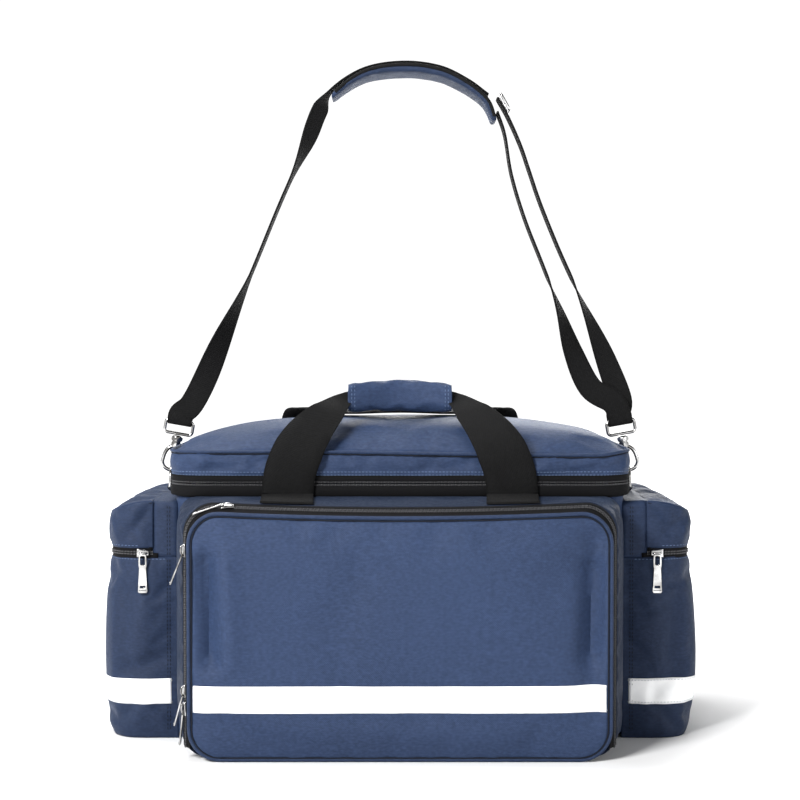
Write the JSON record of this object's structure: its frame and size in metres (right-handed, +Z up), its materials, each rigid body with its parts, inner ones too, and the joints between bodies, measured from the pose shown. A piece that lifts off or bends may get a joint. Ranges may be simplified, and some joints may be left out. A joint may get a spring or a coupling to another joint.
{
  "type": "trauma bag",
  "caption": "Soft box-shaped first responder bag with a zipped hinged lid, three zipped outer pockets, reflective bands, joined carry handles and an upright clip-on shoulder strap.",
  "frame": {"origin": "on the floor plane, under the middle of the bag's whole plan outline", "axes": "+Z up, -Y toward the front pocket, +X toward the right pocket as seen from the front"},
  "size_m": [0.5726, 0.3584, 0.6809],
  "materials": {
    "body_fabric": "woven nylon, dull sheen",
    "panel_fabric": "woven nylon, dull sheen",
    "piping_fabric": "bound cord edge",
    "lining_fabric": "padded lining",
    "zip_tape": "woven zip tape and coil",
    "black_webbing": "ribbed nylon webbing",
    "reflective_tape": "sewn reflective tape",
    "stiffener_board": "plain board",
    "plated_metal": "bright nickel plate"
  },
  "bodies": {
    "bag": {"main_body": "body_fabric", "base_board": "stiffener_board", "left_divider": "lining_fabric", "right_divider": "lining_fabric", "body_zip_tape": "zip_tape", "rear_hinge_binding": "body_fabric", "front_pocket_gusset": "body_fabric", "front_pocket_foot": "panel_fabric", "front_pocket_zip_body_side": "zip_tape", "left_pocket_body": "body_fabric", "right_pocket_body": "body_fabric", "left_pocket_shoulder": "body_fabric", "right_pocket_shoulder": "body_fabric", "left_pocket_zip_lower": "zip_tape", "right_pocket_zip_lower": "zip_tape", "left_reflective_band": "reflective_tape", "right_reflective_band": "reflective_tape", "left_ring_tab": "black_webbing", "right_ring_tab": "black_webbing"},
    "lid": {"lid_shell": "body_fabric", "lid_piping": "piping_fabric", "lid_zip_tape": "zip_tape"},
    "front_flap": {"front_pocket_panel": "panel_fabric", "front_pocket_piping": "piping_fabric", "front_pocket_zip_flap_side": "zip_tape", "front_reflective_band": "reflective_tape"},
    "left_cap": {"left_pocket_cap": "body_fabric", "left_pocket_zip_upper": "zip_tape"},
    "right_cap": {"right_pocket_cap": "body_fabric", "right_pocket_zip_upper": "zip_tape"},
    "front_handle": {"front_handle_webbing": "black_webbing", "handle_grip_wrap": "body_fabric"},
    "rear_handle": {"rear_handle_webbing": "black_webbing"},
    "strap": {"strap_webbing_left": "black_webbing", "strap_webbing_right": "black_webbing", "shoulder_pad": "body_fabric", "tri_glide": "plated_metal", "left_hook_eye": "plated_metal", "right_hook_eye": "plated_metal"},
    "left_hook": {"left_hook_body": "plated_metal"},
    "left_gate": {"left_hook_gate": "plated_metal"},
    "left_ring": {"left_d_ring": "plated_metal"},
    "right_hook": {"right_hook_body": "plated_metal"},
    "right_gate": {"right_hook_gate": "plated_metal"},
    "right_ring": {"right_d_ring": "plated_metal"},
    "front_lower_slider_body": {"front_lower_slider": "plated_metal"},
    "front_lower_puller_body": {"front_lower_puller": "plated_metal"},
    "front_upper_slider_body": {"front_upper_slider": "plated_metal"},
    "front_upper_puller_body": {"front_upper_puller": "plated_metal"},
    "front_corner_slider_body": {"front_corner_slider": "plated_metal"},
    "front_corner_puller_body": {"front_corner_puller": "plated_metal"},
    "front_top_slider_body": {"front_top_slider": "plated_metal"},
    "front_top_puller_body": {"front_top_puller": "plated_metal"},
    "left_pocket_slider_body": {"left_pocket_slider": "plated_metal"},
    "left_pocket_puller_body": {"left_pocket_puller": "plated_metal"},
    "right_pocket_slider_body": {"right_pocket_slider": "plated_metal"},
    "right_pocket_puller_body": {"right_pocket_puller": "plated_metal"},
    "lid_slider_body": {"lid_slider": "plated_metal"},
    "lid_puller_body": {"lid_puller": "plated_metal"}
  },
  "joints": [
    {"name": "lid_hinge", "type": "hinge", "parent": "bag", "child": "lid", "pos_m": [0, 0.1735, 0.2497], "axis": [-1, 0, 0], "range_deg": [0, 100], "deforming": ["front_handle_webbing", "handle_grip_wrap", "strap_webbing_left", "strap_webbing_right", "shoulder_pad", "left_hook_eye", "right_hook_eye"]},
    {"name": "rear_handle_swing", "type": "hinge", "parent": "bag", "child": "rear_handle", "pos_m": [0, 0.1761, 0.248], "axis": [-1, 0, 0], "range_deg": [0, 110]},
    {"name": "front_handle_swing", "type": "hinge", "parent": "bag", "child": "front_handle", "pos_m": [0, -0.1023, 0.2435], "axis": [1, 0, 0], "range_deg": [0, 80]},
    {"name": "front_flap_hinge", "type": "hinge", "parent": "bag", "child": "front_flap", "pos_m": [0, -0.1779, 0.0118], "axis": [1, 0, 0], "range_deg": [0, 85]},
    {"name": "left_cap_hinge", "type": "hinge", "parent": "bag", "child": "left_cap", "pos_m": [-0.2435, 0.0371, 0.2335], "axis": [0, 1, 0], "range_deg": [0, 70]},
    {"name": "right_cap_hinge", "type": "hinge", "parent": "bag", "child": "right_cap", "pos_m": [0.2435, 0.0371, 0.2335], "axis": [0, -1, 0], "range_deg": [0, 70]},
    {"name": "strap_swing", "type": "hinge", "parent": "bag", "child": "strap", "pos_m": [0, 0.0371, 0.261], "axis": [1, 0, 0], "range_deg": [-22, 22]},
    {"name": "left_hook_swivel", "type": "hinge", "parent": "strap", "child": "left_hook", "pos_m": [-0.23402, 0.0371, 0.28641], "axis": [0.1736, 0, 0.9848], "range_deg": [-8, 8]},
    {"name": "left_gate_hinge", "type": "hinge", "parent": "left_hook", "child": "left_gate", "pos_m": [-0.2289, 0.0371, 0.2786], "axis": [0, 1, 0], "range_deg": [0, 12], "stiffness_Nm_per_rad": 0.02, "springref_deg": -5.16},
    {"name": "left_ring_tilt", "type": "hinge", "parent": "bag", "child": "left_ring", "pos_m": [-0.2385, 0.0371, 0.239], "axis": [0, 1, 0], "range_deg": [-2, 2]},
    {"name": "right_hook_swivel", "type": "hinge", "parent": "strap", "child": "right_hook", "pos_m": [0.23402, 0.0371, 0.28641], "axis": [-0.1736, 0, 0.9848], "range_deg": [-8, 8]},
    {"name": "right_gate_hinge", "type": "hinge", "parent": "right_hook", "child": "right_gate", "pos_m": [0.2289, 0.0371, 0.2786], "axis": [0, -1, 0], "range_deg": [0, 12], "stiffness_Nm_per_rad": 0.02, "springref_deg": -5.16},
    {"name": "right_ring_tilt", "type": "hinge", "parent": "bag", "child": "right_ring", "pos_m": [0.2385, 0.0371, 0.239], "axis": [0, 1, 0], "range_deg": [-2, 2]},
    {"name": "front_lower_slide", "type": "slide", "parent": "bag", "child": "front_lower_slider_body", "axis": [0, 0, -1], "range_m": [0, 0.01]},
    {"name": "front_lower_puller_hinge", "type": "hinge", "parent": "front_lower_slider_body", "child": "front_lower_puller_body", "pos_m": [-0.2024, -0.16505, 0.044], "axis": [0, 1, 0], "range_deg": [0, 20]},
    {"name": "front_upper_slide", "type": "slide", "parent": "bag", "child": "front_upper_slider_body", "axis": [0, 0, 1], "range_m": [0, 0.085]},
    {"name": "front_upper_puller_hinge", "type": "hinge", "parent": "front_upper_slider_body", "child": "front_upper_puller_body", "pos_m": [-0.2024, -0.16505, 0.0605], "axis": [0, 1, 0], "range_deg": [0, 95]},
    {"name": "front_corner_slide", "type": "slide", "parent": "bag", "child": "front_corner_slider_body", "axis": [0, 0, 1], "range_m": [-0.085, 0]},
    {"name": "front_corner_puller_hinge", "type": "hinge", "parent": "front_corner_slider_body", "child": "front_corner_puller_body", "pos_m": [-0.2024, -0.16505, 0.192], "axis": [0, 1, 0], "range_deg": [0, 110]},
    {"name": "front_top_slide", "type": "slide", "parent": "bag", "child": "front_top_slider_body", "axis": [1, 0, 0], "range_m": [0, 0.3]},
    {"name": "front_top_puller_hinge", "type": "hinge", "parent": "front_top_slider_body", "child": "front_top_puller_body", "pos_m": [-0.164, -0.16505, 0.2379], "axis": [0, 1, 0], "range_deg": [0, 150]},
    {"name": "left_pocket_slide", "type": "slide", "parent": "bag", "child": "left_pocket_slider_body", "axis": [-1, 0, 0], "range_m": [0, 0.01]},
    {"name": "left_pocket_puller_hinge", "type": "hinge", "parent": "left_pocket_slider_body", "child": "left_pocket_puller_body", "pos_m": [-0.252, -0.0833, 0.182], "axis": [-1, 0, 0], "range_deg": [0, 150]},
    {"name": "right_pocket_slide", "type": "slide", "parent": "bag", "child": "right_pocket_slider_body", "axis": [1, 0, 0], "range_m": [0, 0.01]},
    {"name": "right_pocket_puller_hinge", "type": "hinge", "parent": "right_pocket_slider_body", "child": "right_pocket_puller_body", "pos_m": [0.252, -0.0833, 0.182], "axis": [-1, 0, 0], "range_deg": [0, 150]},
    {"name": "lid_slide", "type": "slide", "parent": "bag", "child": "lid_slider_body", "axis": [0, -1, 0], "range_m": [0, 0.065]},
    {"name": "lid_puller_hinge", "type": "hinge", "parent": "lid_slider_body", "child": "lid_puller_body", "pos_m": [0.2309, 0.128, 0.2463], "axis": [0, -1, 0], "range_deg": [0, 110]}
  ],
  "couplings": [
    {"joint": "rear_handle_swing", "follows": "lid_hinge", "ratio": 1.1}
  ]
}
